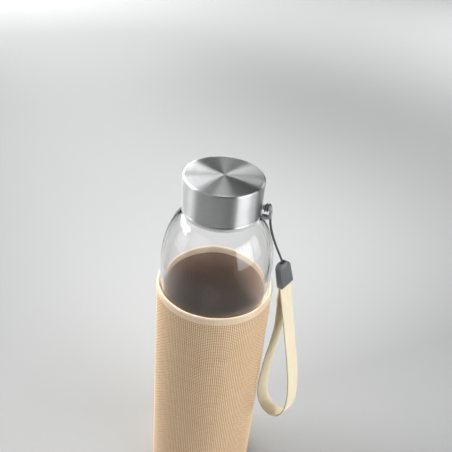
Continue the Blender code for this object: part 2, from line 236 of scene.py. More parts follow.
# ================================================================ material helpers
class Look:
    """A node material with short names for what it is made from."""

    def __init__(self, name):
        self.mat = bpy.data.materials.new(name)
        self.mat.use_nodes = True
        self.tree = self.mat.node_tree
        self.tree.nodes.clear()
        self.out = self.tree.nodes.new("ShaderNodeOutputMaterial")
        self.bsdf = self.tree.nodes.new("ShaderNodeBsdfPrincipled")
        self.tree.links.new(self.bsdf.outputs[0], self.out.inputs["Surface"])
        coord = self.tree.nodes.new("ShaderNodeTexCoord")
        self.object = coord.outputs["Object"]
        self.uv = coord.outputs["UV"]

    def feed(self, socket, value):
        if isinstance(value, bpy.types.NodeSocket):
            self.tree.links.new(value, socket)
        elif value is not None:
            socket.default_value = value

    def set(self, **values):
        for key, value in values.items():
            self.feed(self.bsdf.inputs[key.replace("_", " ").title().replace("Ior", "IOR")], value)
        return self

    def math(self, op, a, b=None, c=None, clamp=False):
        node = self.tree.nodes.new("ShaderNodeMath")
        node.operation = op
        node.use_clamp = clamp
        for socket, value in zip(node.inputs, (a, b, c)):
            self.feed(socket, value)
        return node.outputs[0]

    def split(self, vector):
        node = self.tree.nodes.new("ShaderNodeSeparateXYZ")
        self.feed(node.inputs[0], vector)
        return node.outputs[0], node.outputs[1], node.outputs[2]

    def join(self, x=0.0, y=0.0, z=0.0):
        node = self.tree.nodes.new("ShaderNodeCombineXYZ")
        for socket, value in zip(node.inputs, (x, y, z)):
            self.feed(socket, value)
        return node.outputs[0]

    def noise(self, vector, scale=1.0, detail=2.0, rough=0.5, warp=0.0):
        node = self.tree.nodes.new("ShaderNodeTexNoise")
        self.feed(node.inputs["Vector"], vector)
        self.feed(node.inputs["Scale"], scale)
        self.feed(node.inputs["Detail"], detail)
        self.feed(node.inputs["Roughness"], rough)
        self.feed(node.inputs["Distortion"], warp)
        return node.outputs[0]

    def white(self, value):
        node = self.tree.nodes.new("ShaderNodeTexWhiteNoise")
        node.noise_dimensions = "1D"
        self.feed(node.inputs["W"], value)
        return node.outputs["Value"]

    def remap(self, value, a, b, c, d, smooth=False):
        node = self.tree.nodes.new("ShaderNodeMapRange")
        node.interpolation_type = "SMOOTHSTEP" if smooth else "LINEAR"
        for i, v in enumerate((value, a, b, c, d)):
            self.feed(node.inputs[i], v)
        return node.outputs[0]

    def mix(self, amount, a, b, blend="MIX"):
        node = self.tree.nodes.new("ShaderNodeMix")
        node.data_type = "RGBA"
        node.blend_type = blend
        self.feed(node.inputs[0], amount)
        self.feed(node.inputs[6], (*a, 1.0) if isinstance(a, tuple) else a)
        self.feed(node.inputs[7], (*b, 1.0) if isinstance(b, tuple) else b)
        return node.outputs[2]

    def bump(self, height, strength, distance, normal=None):
        node = self.tree.nodes.new("ShaderNodeBump")
        self.feed(node.inputs["Height"], height)
        node.inputs["Strength"].default_value = strength
        node.inputs["Distance"].default_value = distance
        if normal is not None:
            self.feed(node.inputs["Normal"], normal)
        return node.outputs[0]

    def weave(self, u, v):
        """Plain weave, one unit to a yarn: height, 1 where the u-wise yarn is on top, and the yarns' numbers."""
        iu, iv = self.math("FLOOR", u), self.math("FLOOR", v)
        fu, fv = self.math("SUBTRACT", self.math("FRACT", u), 0.5), self.math("SUBTRACT", self.math("FRACT", v), 0.5)
        warp = self.math("COSINE", self.math("MULTIPLY", fu, math.pi))
        weft = self.math("COSINE", self.math("MULTIPLY", fv, math.pi))
        odd_u = self.math("COSINE", self.math("MULTIPLY", iu, math.pi))
        odd_v = self.math("COSINE", self.math("MULTIPLY", iv, math.pi))
        sway_v = self.math("COSINE", self.math("MULTIPLY", self.math("SUBTRACT", v, 0.5), math.pi))
        sway_u = self.math("COSINE", self.math("MULTIPLY", self.math("SUBTRACT", u, 0.5), math.pi))
        lift_w = self.math("MULTIPLY_ADD", self.math("MULTIPLY", sway_v, odd_u), 0.27, 0.73)
        lift_f = self.math("MULTIPLY_ADD", self.math("MULTIPLY", sway_u, odd_v), -0.27, 0.73)
        high_w = self.math("MULTIPLY", self.math("POWER", warp, 0.7), lift_w)
        high_f = self.math("MULTIPLY", self.math("POWER", weft, 0.7), lift_f)
        height = self.math("MAXIMUM", high_w, high_f)
        on_top = self.math("GREATER_THAN", high_f, high_w)
        return height, on_top, iu, iv


def srgb(r, g, b):
    """Linear colour of an 8-bit sRGB one."""
    return tuple(((c / 255) / 12.92 if c / 255 <= 0.04045 else ((c / 255 + 0.055) / 1.055) ** 2.4) for c in (r, g, b))


# ====================================================================== materials
def glass_look():
    look = Look("borosilicate_glass")
    x, y, z = look.split(look.object)
    ripple = look.noise(look.join(look.math("MULTIPLY", x, 30), look.math("MULTIPLY", y, 30), look.math("MULTIPLY", z, 14)), 1.0, 1.0)
    look.set(base_color=(1.0, 1.0, 1.0, 1), roughness=0.0, ior=1.47, transmission_weight=1.0,
             normal=look.bump(ripple, 0.04, 0.002))
    look.bsdf.inputs["Specular IOR Level"].default_value = 0.32
    # lamps reach what is behind the glass
    clear = look.tree.nodes.new("ShaderNodeBsdfTransparent")
    clear.inputs[0].default_value = (0.985, 0.99, 0.988, 1)
    ray = look.tree.nodes.new("ShaderNodeLightPath")
    swap = look.tree.nodes.new("ShaderNodeMixShader")
    look.feed(swap.inputs[0], ray.outputs["Is Shadow Ray"])
    look.feed(swap.inputs[1], look.bsdf.outputs[0])
    look.feed(swap.inputs[2], clear.outputs[0])
    look.feed(look.out.inputs["Surface"], swap.outputs[0])
    return look.mat


def steel_look():
    """Steel with circular brush lines round the cap's axis: rings on the disc, hoops on the wall."""
    look = Look("spun_brushed_steel")
    x, y, z = look.split(look.object)
    r = look.math("SQRT", look.math("ADD", look.math("MULTIPLY", x, x), look.math("MULTIPLY", y, y)))
    angle = look.math("ARCTAN2", y, x)
    # fine lines: quick across the brush, slow along it
    fine = look.noise(look.join(look.math("MULTIPLY", r, 9000), look.math("MULTIPLY", angle, 2.2), look.math("MULTIPLY", z, 9000)), 1.0, 3.0, 0.6)
    broad = look.noise(look.join(look.math("MULTIPLY", r, 1700), look.math("MULTIPLY", angle, 0.9), look.math("MULTIPLY", z, 1700)), 1.0, 2.0, 0.5)
    both = look.math("MULTIPLY_ADD", fine, 0.6, look.math("MULTIPLY", broad, 0.4))
    tone = look.mix(look.remap(both, 0.3, 0.7, 0.0, 1.0), (0.49, 0.50, 0.505), (0.60, 0.605, 0.605))
    look.set(base_color=tone, metallic=1.0, roughness=look.remap(both, 0.3, 0.7, 0.32, 0.42),
             anisotropic=0.9, anisotropic_rotation=0.25, normal=look.bump(both, 0.10, 0.00004))
    tangent = look.tree.nodes.new("ShaderNodeTangent")
    tangent.direction_type = "RADIAL"
    tangent.axis = "Z"
    look.feed(look.bsdf.inputs["Tangent"], tangent.outputs[0])
    return look.mat


def plastic_look(name, light, dark, roughness, grain, bump):
    look = Look(name)
    cloud = look.noise(look.object, 90.0, 3.0)
    speck = look.noise(look.object, grain, 2.0, 0.7)
    look.set(base_color=look.mix(look.remap(cloud, 0.3, 0.7, 0, 1), dark, light),
             roughness=look.remap(speck, 0.3, 0.7, roughness - 0.06, roughness + 0.06),
             normal=look.bump(speck, bump, 0.00005))
    return look.mat


def silicone_look():
    look = Look("white_silicone_seal")
    speck = look.noise(look.object, 1500.0, 2.0)
    look.set(base_color=look.mix(speck, (0.80, 0.80, 0.78), (0.88, 0.88, 0.86)), roughness=0.48,
             subsurface_weight=0.15, subsurface_scale=0.002, normal=look.bump(speck, 0.1, 0.00003))
    look.bsdf.inputs["Subsurface Radius"].default_value = (1.0, 0.9, 0.8)
    return look.mat


def yarn_look(name, u, v, look, dark, light, painted_gap_shade, roughness, depth, fibre=1.0, variation=0.35, sheen=0.25):
    """Colour, roughness and bump of a plain weave whose yarn numbers are u and v, with painted shade where the yarns
    dip.
    """
    height, on_top, iu, iv = look.weave(u, v)
    # fibres run along whichever yarn is on top
    lie_w = look.noise(look.join(look.math("MULTIPLY", u, 7.0), look.math("MULTIPLY", v, 1.3), 0.0), 1.0, 3.0, 0.65)
    lie_f = look.noise(look.join(look.math("MULTIPLY", u, 1.3), look.math("MULTIPLY", v, 7.0), 5.0), 1.0, 3.0, 0.65)
    fibres = look.math("ADD", look.math("MULTIPLY", lie_f, on_top),
                       look.math("MULTIPLY", lie_w, look.math("SUBTRACT", 1.0, on_top)))
    tone_w = look.white(iu)
    tone_f = look.white(look.math("ADD", iv, 0.37))
    each = look.math("ADD", look.math("MULTIPLY", tone_f, on_top),
                     look.math("MULTIPLY", tone_w, look.math("SUBTRACT", 1.0, on_top)))
    slub = look.noise(look.join(look.math("MULTIPLY", u, 0.11), look.math("MULTIPLY", v, 0.35), 2.0), 1.0, 3.0, 0.6)
    tone = look.math("ADD", look.math("MULTIPLY", each, variation * 0.5),
                     look.math("ADD", look.math("MULTIPLY", look.remap(slub, 0.25, 0.75, 0, 1), variation * 0.6),
                               look.math("MULTIPLY", look.remap(fibres, 0.25, 0.75, 0, 1), 0.45 * fibre)), clamp=True)
    colour = look.mix(tone, dark, light)
    # painted shade: where the yarns dip low, a quarter of the dark gap colour is mixed in
    colour = look.mix(look.remap(height, 0.42, 0.86, 0.0, 1.0, True), look.mix(0.25, painted_gap_shade, colour), colour)
    if name == "sleeve":            # the lining side gets a darker, plainer colour: painted shade inside the sleeve
        outside = look.remap(look.inner, 31.6 * MM, 32.1 * MM, 0.0, 1.0)
        colour = look.mix(outside, look.mix(0.3, srgb(172, 138, 118), srgb(133, 104, 88)), colour)
    bumpy = look.math("MULTIPLY_ADD", fibres, 0.18 * fibre, height)
    look.set(base_color=colour, roughness=roughness, sheen_weight=sheen, sheen_roughness=0.5,
             normal=look.bump(bumpy, 0.75, depth))
    look.bsdf.inputs["Sheen Tint"].default_value = (*light, 1.0)
    look.bsdf.inputs["Specular IOR Level"].default_value = 0.25
    return look.mat


def sleeve_look():
    look = Look("woven_jute_cloth")
    x, y, z = look.split(look.object)
    u = look.math("MULTIPLY", look.math("ARCTAN2", y, x), YARNS_ROUND / TAU)
    v = look.math("DIVIDE", z, YARN_RISE)
    look.inner = look.math("SQRT", look.math("ADD", look.math("MULTIPLY", x, x), look.math("MULTIPLY", y, y)))
    return yarn_look("sleeve", u, v, look, srgb(218, 178, 136), srgb(252, 230, 198), srgb(84, 54, 32), 0.85, 0.00045)


def base_look():
    look = Look("woven_jute_base")
    x, y, z = look.split(look.object)
    u, v = look.math("DIVIDE", x, 1.2 * MM), look.math("DIVIDE", y, 1.2 * MM)
    return yarn_look("base", u, v, look, srgb(178, 145, 110), srgb(220, 192, 156), srgb(112, 82, 56), 0.85, 0.00035)


def hem_look():
    look = Look("folded_hem_tape")
    x, y, z = look.split(look.object)
    u = look.math("MULTIPLY", look.math("ARCTAN2", y, x), 300 / TAU)
    v = look.math("DIVIDE", z, 0.6 * MM)
    return yarn_look("hem", u, v, look, srgb(222, 200, 172), srgb(242, 226, 204), srgb(184, 156, 126), 0.8, 0.00016, 0.8, 0.4)


def webbing_look():
    look = Look("cream_flat_webbing")
    x, y, z = look.split(look.uv)
    u = look.math("MULTIPLY", x, 44.0)
    v = look.math("DIVIDE", y, 0.55 * MM)
    return yarn_look("webbing", u, v, look, srgb(226, 216, 188), srgb(246, 241, 224), srgb(186, 168, 128), 0.8, 0.00012, 0.7, 0.3, 0.3)


def cord_look():
    look = Look("black_braided_cord")
    x, y, z = look.split(look.uv)
    a = look.math("MULTIPLY", x, TAU * 3)
    b = look.math("MULTIPLY", y, TAU / (0.9 * MM))
    one = look.math("SINE", look.math("ADD", a, b))
    two = look.math("SINE", look.math("SUBTRACT", a, b))
    plait = look.math("MAXIMUM", one, two)
    fuzz = look.noise(look.object, 9000.0, 2.0)
    high = look.math("MULTIPLY_ADD", fuzz, 0.4, look.math("MULTIPLY_ADD", plait, 0.5, 0.5))
    # painted shade: the colour is darker down in the plait's grooves and lighter on its crests, with the fuzz noise
    # adding random tone
    look.set(base_color=look.mix(look.remap(high, 0.2, 1.3, 0, 1), (0.008, 0.008, 0.009), (0.045, 0.045, 0.048)),
             roughness=0.62, sheen_weight=0.2, sheen_roughness=0.5, normal=look.bump(high, 0.6, 0.00008))
    return look.mat


GLASS = glass_look()
STEEL = steel_look()
LINER = plastic_look("grey_polypropylene", (0.52, 0.525, 0.53), (0.46, 0.465, 0.47), 0.42, 2500.0, 0.12)
LUG = plastic_look("grey_lug_plastic", (0.33, 0.335, 0.34), (0.28, 0.285, 0.29), 0.42, 2500.0, 0.12)
SEAL = silicone_look()
CLASP = plastic_look("dark_clasp_plastic", (0.115, 0.120, 0.123), (0.088, 0.092, 0.095), 0.33, 3000.0, 0.14)
JUTE = sleeve_look()
BASE = base_look()
HEM = hem_look()
WEBBING = webbing_look()
CORD = cord_look()


# ========================================================================== camera
pitch, roll, yaw = math.radians(33.65), math.radians(5.57), math.radians(-9.31)
ahead = Vector((math.sin(yaw) * math.cos(pitch), math.cos(yaw) * math.cos(pitch), -math.sin(pitch)))
right = Vector((math.cos(yaw), -math.sin(yaw), 0.0))
above = right.cross(ahead)
cam_x = right * math.cos(roll) + above * math.sin(roll)
cam_y = -right * math.sin(roll) + above * math.cos(roll)
camera = bpy.data.objects.new("photo_camera", bpy.data.cameras.new("photo_camera"))
camera.matrix_world = Matrix.Translation((0.046468, -0.263535, 0.36720)) @ Matrix((cam_x, cam_y, -ahead)).transposed().to_4x4()
camera.data.sensor_width = 36.0
camera.data.lens = 47.79
camera.data.clip_start = 0.01
camera.data.clip_end = 100.0
bpy.context.scene.collection.objects.link(camera)
bpy.context.scene.camera = camera


# =========================================================================== cords
# The knotted part round the lug, then the two strands down to the clasp.
knot = [(25.75, 3.4, 202.5), (25.7, 3.35, 203.6), (25.35, 2.95, 205.2), (24.85, 1.9, 206.6),
        (24.5, 0.4, 207.05), (24.35, -1.1, 206.95), (24.3, -2.1, 206.2), (24.25, -2.3, 205.2),
        (24.2, -1.9, 204.2), (24.1, -0.7, 203.75), (23.95, 0.7, 203.8), (23.8, 1.9, 204.3),
        (23.65, 2.3, 205.3), (23.5, 1.9, 206.5), (23.3, 0.6, 207.0), (23.15, -0.9, 206.95),
        (23.05, -2.1, 206.2), (23.0, -2.3, 205.2), (22.95, -1.9, 204.2), (22.9, -0.7, 203.65),
        (22.95, 0.6, 203.2), (23.4, 1.6, 202.9), (24.4, 2.2, 202.75), (25.4, 2.3, 202.5)]
hitch = sweep("lug_hitch", smooth_path([Vector(p) * MM for p in knot], 0.28 * MM), circle(CORD_D / 2, 12), CORD, sharp=80)
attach(hitch, "cap")
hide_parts("cord_hitch")

hang = [(25.9, 202.15), (26.0, 198.4), (26.75, 193.8), (28.6, 188.0), (31.2, 182.0)]
end = CLASP_TOP + CLASP_UP * 0.6 * MM
for letter, shift, behind, tail in (("a", 0.0, (3.35, 3.3, 2.75, 2.25, 1.95), (25.75, 3.4, 202.55)),
                                    ("b", -0.3, (2.25, 2.2, 1.5, 1.05, 0.8), (25.4, 2.3, 202.55))):
    fade = (1.0, 1.0, 0.8, 0.5, 0.2)
    route = [Vector(tail) * MM]
    route += [Vector((x + shift * f, y, z)) * MM for (x, z), y, f in zip(hang, behind, fade)][1:]
    lean = Vector((0, 0.56 * MM * (1 if letter == "a" else -1), 0))
    route += [end + lean + (route[-1] - end - lean) * 0.25, end + lean, end + lean * 0.9 - CLASP_UP * 1.3 * MM]
    path = smooth_path(route, 0.4 * MM)
    strand = sweep(f"hanging_cord_{letter}", path, circle(CORD_D / 2, 12), CORD, sharp=80)
    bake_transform(strand)
    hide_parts(f"cord_strand_{letter}")


# ===================================================================== wrist strap
mouth = (STRAP_T + 0.35 * MM) / 2 / MM
foot = CLASP_FOOT.z / MM - 1.2
loop = [(-mouth, foot + 2.6), (-mouth, foot), (-mouth + 0.2, foot - 8), (0.45, 141), (0.7, 127), (-0.4, 114),
        (-2.0, 101), (-3.2, 89), (-3.85, 77), (-3.5, 67.5), (-0.9, 60.2), (4.4, 56.6),
        (10.2, 57.4), (15.0, 62.2), (17.9, 70.5), (18.5, 81), (17.0, 93.5), (14.3, 105.5),
        (11.3, 116.5), (8.3, 127.5), (5.3, 138), (2.5, 148), (mouth, foot), (mouth, foot + 2.6)]
origin = Vector((CLASP_FOOT.x, CLASP_FOOT.y, 0.0))
strap_path = [origin + OUT * p.x + UP * p.y for p in smooth_path([Vector((u, z, 0)) * MM for u, z in loop], 1.0 * MM)]
half_w, half_t = STRAP_W / 2, STRAP_T / 2
flat = []
for k in range(13):                     # one face, from edge to edge, with softly rounded selvedges
    s = -1 + 2 * k / 12
    flat.append((half_w * s, half_t * (1 - 0.22 * abs(s) ** 6)))
section = [(x, -y) for x, y in flat] + [(half_w * 1.012, 0.0)] + [(x, y) for x, y in reversed(flat)] + [(-half_w * 1.012, 0.0)]
strap = sweep("wrist_webbing", strap_path, section, WEBBING, across=SIDE, sharp=60)
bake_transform(strap)
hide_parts("wrist_strap")


# =========================================================================== clasp
def clasp_piece():
    half = CLASP_W / 2
    r = CLASP_CORNER
    outline = [(-half, 0.0), (half, 0.0)]
    outline += arc(half - CLASP_TAPER - r, CLASP_H - r, r, 0, 90, 16)
    outline += arc(r + CLASP_TAPER - half, CLASP_H - r, r, 90, 180, 16)
    work = bmesh.new()
    back = [work.verts.new((x, y, -CLASP_T / 2)) for x, y in outline]
    front = [work.verts.new((x, y, CLASP_T / 2)) for x, y in outline]
    n = len(outline)
    for k in range(n):
        work.faces.new((back[k], back[(k + 1) % n], front[(k + 1) % n], front[k]))
    faces = [work.faces.new(list(reversed(back))), work.faces.new(front)]
    bmesh.ops.recalc_face_normals(work, faces=work.faces)
    work.edges.ensure_lookup_table()
    rim = [e for e in work.edges if len(e.link_faces) == 2 and e.calc_face_angle() > math.radians(40)]
    bmesh.ops.bevel(work, geom=rim, offset=0.5 * MM, segments=4, profile=0.6, affect="EDGES", clamp_overlap=True)
    # the broad faces carry a shallow raised panel that follows the outline
    broad = sorted(work.faces, key=lambda f: -f.calc_area())[:2]
    bmesh.ops.inset_individual(work, faces=broad, thickness=0.35 * MM, depth=-0.14 * MM)
    bmesh.ops.inset_individual(work, faces=broad, thickness=0.28 * MM, depth=0.16 * MM)
    mesh = bpy.data.meshes.new("cord_clasp")
    work.to_mesh(mesh)
    work.free()
    obj = bpy.data.objects.new("cord_clasp", mesh)
    mesh.materials.append(CLASP)
    bpy.context.scene.collection.objects.link(obj)
    x = (SIDE - CLASP_UP * SIDE.dot(CLASP_UP)).normalized()
    z = x.cross(CLASP_UP).normalized()
    obj.matrix_world = Matrix.Translation(CLASP_FOOT) @ Matrix((x, CLASP_UP, z)).transposed().to_4x4()

    def cut(name, wide, deep, low, high):
        """A stadium-shaped cutter through the clasp's end."""
        pts = arc(wide / 2 - deep / 2, 0, deep / 2, -90, 90, 8) + arc(-wide / 2 + deep / 2, 0, deep / 2, 90, 270, 8)
        verts = [(px, low, py) for px, py in pts] + [(px, high, py) for px, py in pts]
        m = len(pts)
        rows = [(k, (k + 1) % m, (k + 1) % m + m, k + m) for k in range(m)]
        rows += [tuple(reversed(range(m))), tuple(range(m, 2 * m))]
        cutter = build(name, verts, rows, CLASP)
        outward(cutter)
        cutter.matrix_world = obj.matrix_world.copy()
        step = obj.modifiers.new(name, "BOOLEAN")
        step.operation = "DIFFERENCE"
        step.solver = "EXACT"
        step.object = cutter
        return cutter

    cutters = [cut("cord_hole", 3.7 * MM, 1.8 * MM, CLASP_H - 2.4 * MM, CLASP_H + 1 * MM),
               cut("web_slot", 9.3 * MM, 2.6 * MM, -1 * MM, 2.2 * MM)]
    bake_modifiers(obj)
    for cutter in cutters:
        bpy.data.objects.remove(cutter)
    obj.data.shade_smooth()
    obj.data.set_sharp_from_angle(angle=math.radians(32))
    return obj


clasp = clasp_piece()
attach(clasp, "clasp")
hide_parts("strap_clasp")


# =========================================================================== glass
def shoulder_radius(height, inside=False):
    body = GLASS_R - (GLASS_WALL if inside else 0)
    neck = MOUTH_R if inside else NECK_R
    t = min(max((height - SHOULDER_LOW) / (SHOULDER_HIGH - SHOULDER_LOW), 0.0), 1.0)
    return neck + (body - neck) * (1 - t ** SHOULDER_POWER) ** (1 / SHOULDER_POWER)


def thread_shift(low, swell, tall, sign):
    """A helical bead: how far the wall moves at an angle and height."""
    def shift(a, z):
        turn = a / TAU
        best = 0.0
        for whole in range(-1, 3):
            t = turn + whole
            if -0.08 < t < THREAD_TURNS + 0.08:
                away = abs(z - (low + PITCH * t)) / tall
                fade = min(1.0, (t + 0.08) / 0.10, (THREAD_TURNS + 0.08 - t) / 0.10)
                if away < 1:
                    best = max(best, swell * fade * math.cos(away * math.pi / 2) ** 0.8)
        return sign * best
    return shift


def glass_profile():
    inner = GLASS_R - GLASS_WALL
    floor = GLASS_BOTTOM + 4.2 * MM
    pts = [(0.0, floor + 0.8 * MM), (6 * MM, floor + 0.72 * MM), (12 * MM, floor + 0.5 * MM), (18 * MM, floor + 0.2 * MM),
           (22 * MM, floor)]
    pts += arc(inner - 5 * MM, floor + 5 * MM, 5 * MM, -80, 0, 12)
    pts += line((inner, 15 * MM), (inner, SHOULDER_LOW), 20)
    steps = 36
    rise = [SHOULDER_LOW + (SHOULDER_HIGH - SHOULDER_LOW) * math.sin(math.pi / 2 * k / steps) for k in range(steps)]
    pts += [(shoulder_radius(h, True), h) for h in rise]
    pts += [(MOUTH_R + 0.35 * MM, SHOULDER_HIGH - 0.02 * MM), (MOUTH_R, SHOULDER_HIGH + 0.5 * MM)]
    pts += arc(MOUTH_R + 0.55 * MM, GLASS_RIM - 0.55 * MM, 0.55 * MM, 180, 90, 5)
    pts += arc(NECK_R - 0.6 * MM, GLASS_RIM - 0.6 * MM, 0.6 * MM, 90, 0, 6)
    first = len(pts)
    pts += line((NECK_R, 213.6 * MM), (NECK_R, 199.3 * MM), 44)
    last = len(pts)
    pts += [(NECK_R, 199.2 * MM), (NECK_R + 0.3 * MM, SHOULDER_HIGH + 0.25 * MM), (NECK_R + 0.9 * MM, SHOULDER_HIGH - 0.02 * MM)]
    pts += [(shoulder_radius(h), h) for h in reversed(rise)][1:]
    pts += line((GLASS_R, 165 * MM), (GLASS_R, GLASS_BOTTOM + FOOT_FILLET), 20)
    ball = GLASS_R - FOOT_FILLET
    pts += arc(ball, GLASS_BOTTOM + FOOT_FILLET, FOOT_FILLET, 0, -90, 14)
    pts += [(ball - 2 * MM, GLASS_BOTTOM), (ball - 5 * MM, GLASS_BOTTOM + 0.8 * MM),
            (ball - 9 * MM, GLASS_BOTTOM + 1.3 * MM), (ball - 13 * MM, GLASS_BOTTOM + PUNT - 0.2 * MM),
            (6 * MM, GLASS_BOTTOM + PUNT - 0.05 * MM), (0.0, GLASS_BOTTOM + PUNT)]
    return pts, first, last


profile, first, last = glass_profile()
bead = thread_shift(THREAD_LOW, 1.0 * MM, 0.95 * MM, 1)
bottle = revolve("bottle_glass", profile, 160, GLASS,
                 shift=lambda a, r, z, i: bead(a, z) if first <= i < last else 0.0, sharp=60)
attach(bottle, "bottle")
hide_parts("glass_bottle")


# ============================================================================= cap
inner = CAP_R - CAP_WALL
DOME = 0.6 * MM                         # the pressed top is very slightly crowned
CROWN = CAP_TOP + 0.3 * MM
EDGE = 0.95 * MM
pts = [(0.0, CROWN)] + [(CAP_R * f, CROWN - DOME * f * f) for f in (0.04, 0.08, 0.15, 0.23, 0.31, 0.4, 0.5, 0.6, 0.7, 0.8, 0.88)]
pts += arc(CAP_R - EDGE, CROWN - DOME * 0.92 - EDGE, EDGE, 87, 0, 14)
pts += line((CAP_R, CAP_TOP - CAP_EDGE - 1 * MM), (CAP_R, CAP_SKIRT + 1.5 * MM), 10)
pts += [(CAP_R, CAP_SKIRT + 1.5 * MM), (CAP_R, CAP_SKIRT + 1.15 * MM), (CAP_R - 0.14 * MM, CAP_SKIRT + 0.98 * MM),
        (CAP_R - 0.14 * MM, CAP_SKIRT + 0.86 * MM), (CAP_R, CAP_SKIRT + 0.7 * MM), (CAP_R, CAP_SKIRT + 0.3 * MM)]
pts += arc(CAP_R - 0.25 * MM, CAP_SKIRT + 0.25 * MM, 0.25 * MM, 0, -90, 5)
pts += arc(inner + 0.15 * MM, CAP_SKIRT + 0.15 * MM, 0.15 * MM, -90, -180, 3)
pts += [(inner, CAP_TOP - 6 * MM)]
pts += arc(CAP_R - CAP_EDGE, CAP_TOP - CAP_EDGE, CAP_EDGE - CAP_WALL, 0, 90, 5)
pts += [(0.0, CAP_TOP - CAP_WALL)]
shell = revolve("steel_cap", pts, 192, STEEL, sharp=50)
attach(shell, "cap")
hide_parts("cap_shell")

roof = CAP_TOP - CAP_WALL - 0.3 * MM
pts = [(0.0, roof), (LINER_R - 1.0 * MM, roof), (LINER_R - 0.3 * MM, roof - 0.3 * MM), (LINER_R, roof - 1.0 * MM),
       (LINER_R, CAP_SKIRT - 0.3 * MM), (FLANGE_R - 0.2 * MM, CAP_SKIRT - 0.3 * MM), (FLANGE_R, CAP_SKIRT - 0.5 * MM),
       (FLANGE_R, FLANGE_LOW + 0.35 * MM)]
pts += arc(FLANGE_R - 0.35 * MM, FLANGE_LOW + 0.35 * MM, 0.35 * MM, 0, -90, 5)[1:]
pts += arc(LINER_BORE + 0.4 * MM, FLANGE_LOW + 0.4 * MM, 0.4 * MM, -90, -180, 5)
first = len(pts)
pts += line((LINER_BORE, 199.6 * MM), (LINER_BORE, 210.4 * MM), 40)
last = len(pts)
pts += [(LINER_BORE, 210.5 * MM), (LINER_BORE, LINER_ROOF - 0.3 * MM), (LINER_BORE - 0.3 * MM, LINER_ROOF), (0.0, LINER_ROOF)]
rib = thread_shift(THREAD_LOW - PITCH / 2, 0.85 * MM, 0.8 * MM, -1)
liner = revolve("cap_inner_liner", pts, 144, LINER, shift=lambda a, r, z, i: rib(a, z) if first <= i < last else 0.0, sharp=45)
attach(liner, "cap")
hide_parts("cap_liner")

pts = []
for cx, cz, start in ((17.85, 216.75, 90), (17.85, 215.75, 0)):
    pts += arc(cx * MM, cz * MM, 0.35 * MM, start, start - 90, 5)
for cx, cz, start in ((13.95, 215.75, -90), (13.95, 216.75, -180)):
    pts += arc(cx * MM, cz * MM, 0.35 * MM, start, start - 90, 5)
gasket = revolve("sealing_ring", pts, 128, SEAL, closed=True, sharp=60)
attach(gasket, "cap_seal")
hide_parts("cap_gasket")


def lug_piece():
    """The moulded strip loop on the cap's edge, with rounded edges."""
    turn_r = LUG_CORNER
    centre = [(LUG_IN, LUG_LOW)] + [(LUG_IN + 1.0 * MM, LUG_LOW)]
    centre += arc(LUG_OUT - turn_r, LUG_LOW + turn_r, turn_r, -90, 0, 12)
    centre += arc(LUG_OUT - turn_r, LUG_HIGH - turn_r, turn_r, 0, 90, 12)
    centre += [(LUG_IN + 1.0 * MM, LUG_HIGH), (LUG_IN, LUG_HIGH)]
    points = [Vector((x, 0.0, z)) for x, z in centre]
    w, t, r = LUG_W / 2, LUG_T / 2, 0.38 * MM
    sect = []
    for cx, cy, start in ((w - r, t - r, 0), (-w + r, t - r, 90), (-w + r, -t + r, 180), (w - r, -t + r, 270)):
        sect += arc(cx, cy, r, start, start + 90, 4)
    return sweep("cap_lug", points, sect, LUG, across=Vector((0, 1, 0)), sharp=50)


lug = lug_piece()
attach(lug, "cap")
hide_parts("strap_lug")


# ========================================================================== sleeve
def weave_height(u, v):
    """The same plain weave as in the cloth's material."""
    iu, iv = math.floor(u), math.floor(v)
    warp = max(math.cos((u - iu - 0.5) * math.pi), 0) ** 0.7
    weft = max(math.cos((v - iv - 0.5) * math.pi), 0) ** 0.7
    lift_w = 0.73 + 0.27 * math.cos((v - 0.5) * math.pi) * math.cos(iu * math.pi)
    lift_f = 0.73 - 0.27 * math.cos((u - 0.5) * math.pi) * math.cos(iv * math.pi)
    return max(warp * lift_w, weft * lift_f)


inside = SLEEVE_R - SLEEVE_WALL
hem_low = SLEEVE_TOP - HEM_HEIGHT
body_top = hem_low + 0.6 * MM            # 0.6 mm above the hem's lower edge
count = round((hem_low - 1.0 * MM) / (YARN_RISE / 2))
outer = [(SLEEVE_R - 0.1 * MM, hem_low - (YARN_RISE / 2) * k) for k in range(0, count + 1)]
DEPTH = 0.62 * MM


def cloth(a, r, z, i):
    if not 0 < i <= count:
        return 0.0
    soft = 0.05 * MM * math.sin(3 * a + 0.7) * math.sin(z * 60)
    return DEPTH * (weave_height(a / TAU * YARNS_ROUND, z / YARN_RISE) - 0.72) + soft


pts = outer + [(SLEEVE_R - 0.15 * MM, 0.5 * MM), (SLEEVE_R - 0.5 * MM, 0.05 * MM), (SLEEVE_R - 0.9 * MM, 0.0), (inside + 0.2 * MM, 0.0),
               (inside, 0.3 * MM)] + [(inside, hem_low * f) for f in (0.1, 0.25, 0.5, 0.75, 0.9)] + [(inside, hem_low)]
sleeve = revolve("sleeve_cloth", pts, YARNS_ROUND * 2, JUTE, closed=True, shift=cloth, sharp=80)
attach(sleeve, "sleeve")
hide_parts("sleeve_body")

top = SLEEVE_TOP
pts = []
pts += arc(SLEEVE_R - 0.70 * MM, top - 0.80 * MM, 0.80 * MM, 90, 0, 10)
pts += line((SLEEVE_R + 0.10 * MM, top - 1.2 * MM), (SLEEVE_R + 0.12 * MM, hem_low + 0.5 * MM), 5)
pts += arc(SLEEVE_R - 0.23 * MM, hem_low + 0.35 * MM, 0.35 * MM, 0, -90, 5)
pts += [(inside + 0.3 * MM, hem_low), (inside, hem_low + 0.2 * MM)]
pts += line((inside, hem_low + 0.8 * MM), (inside, top - 0.7 * MM), 4)
pts += arc(inside + 0.60 * MM, top - 0.60 * MM, 0.60 * MM, 180, 90, 6)


def hem_wave(a, r, z, i):
    return 0.05 * MM * math.sin(11 * a) * math.sin(4 * a + 1.0)


hem = revolve("sleeve_edge", pts, 240, HEM, closed=True, shift=hem_wave, sharp=70)
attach(hem, "sleeve")
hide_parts("sleeve_hem")


